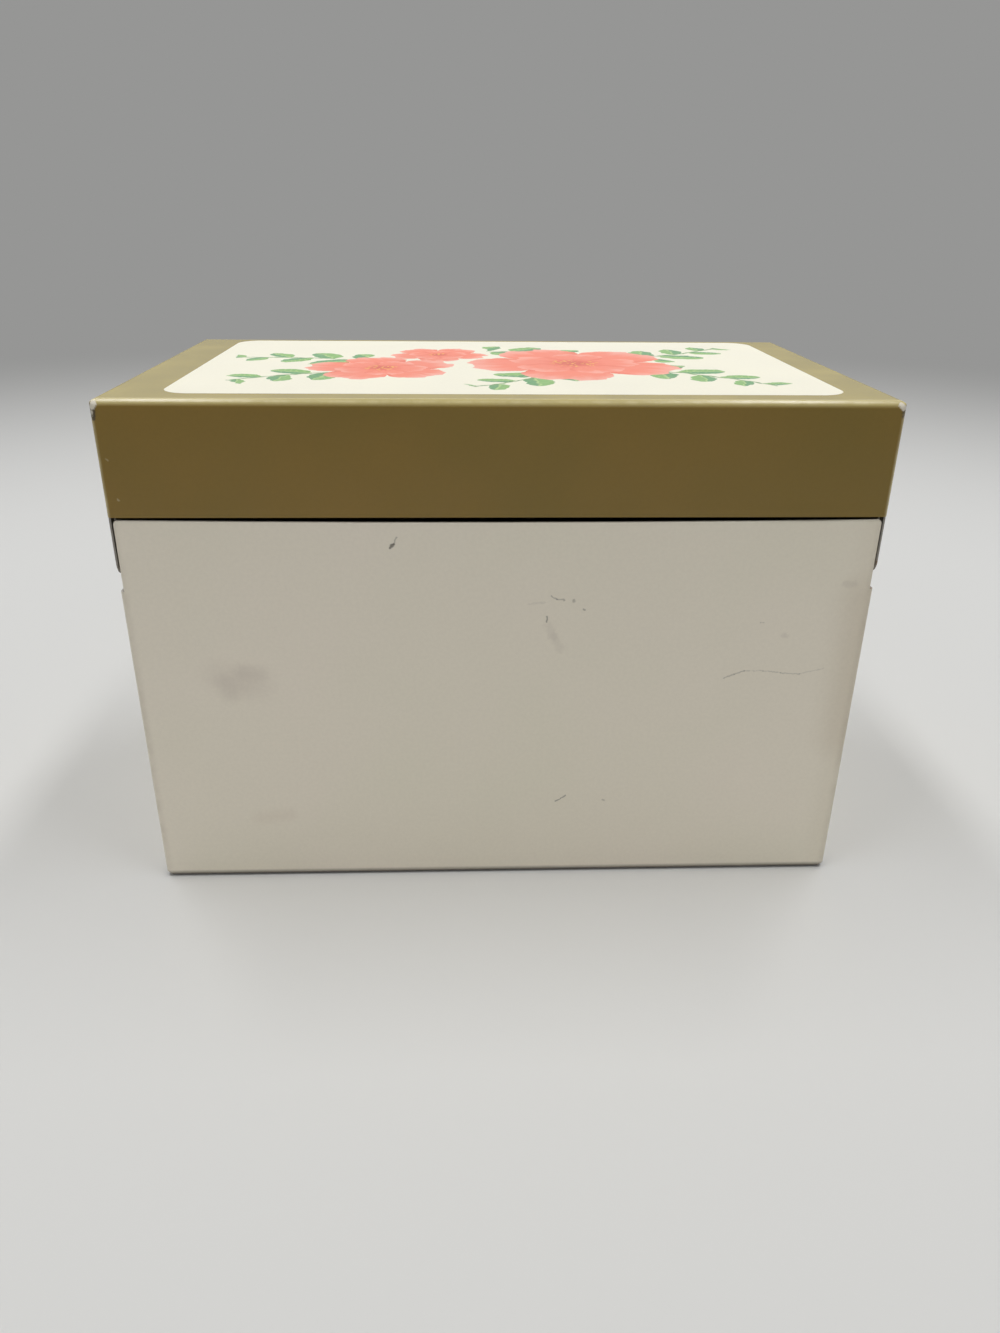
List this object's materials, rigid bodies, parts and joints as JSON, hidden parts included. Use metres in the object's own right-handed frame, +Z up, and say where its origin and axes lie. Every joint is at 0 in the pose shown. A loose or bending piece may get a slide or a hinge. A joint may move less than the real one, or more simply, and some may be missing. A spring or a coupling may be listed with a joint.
{
  "type": "recipe card box",
  "caption": "Hinged tin box for recipe cards: an open folded body with two end panels and a skirted lid that swings back on side ears.",
  "frame": {"origin": "centre of the underside, on the surface that the box stands on", "axes": "+Z up; -Y out of the front wall and +Y out of the rear wall, where the hinge is; +X to the right as seen from the front"},
  "size_m": [0.1386, 0.08, 0.0965],
  "materials": {
    "body_enamel": "glossy cream stoving enamel on tinplate, bare tinplate inside",
    "lid_enamel": "glossy olive gold enamel with a cream floral panel on top, bare tinplate inside",
    "rivet_steel": "bright tinned steel, lightly tarnished"
  },
  "bodies": {
    "box": {"body_wrap": "body_enamel", "left_end_panel": "body_enamel", "right_end_panel": "body_enamel", "left_hinge_rivet": "rivet_steel", "right_hinge_rivet": "rivet_steel"},
    "lid": {"lid": "lid_enamel"}
  },
  "joints": [
    {"name": "lid_hinge", "type": "hinge", "parent": "box", "child": "lid", "pos_m": [0, 0.0341, 0.0698], "axis": [-1, 0, 0], "range_deg": [0, 96]}
  ]
}
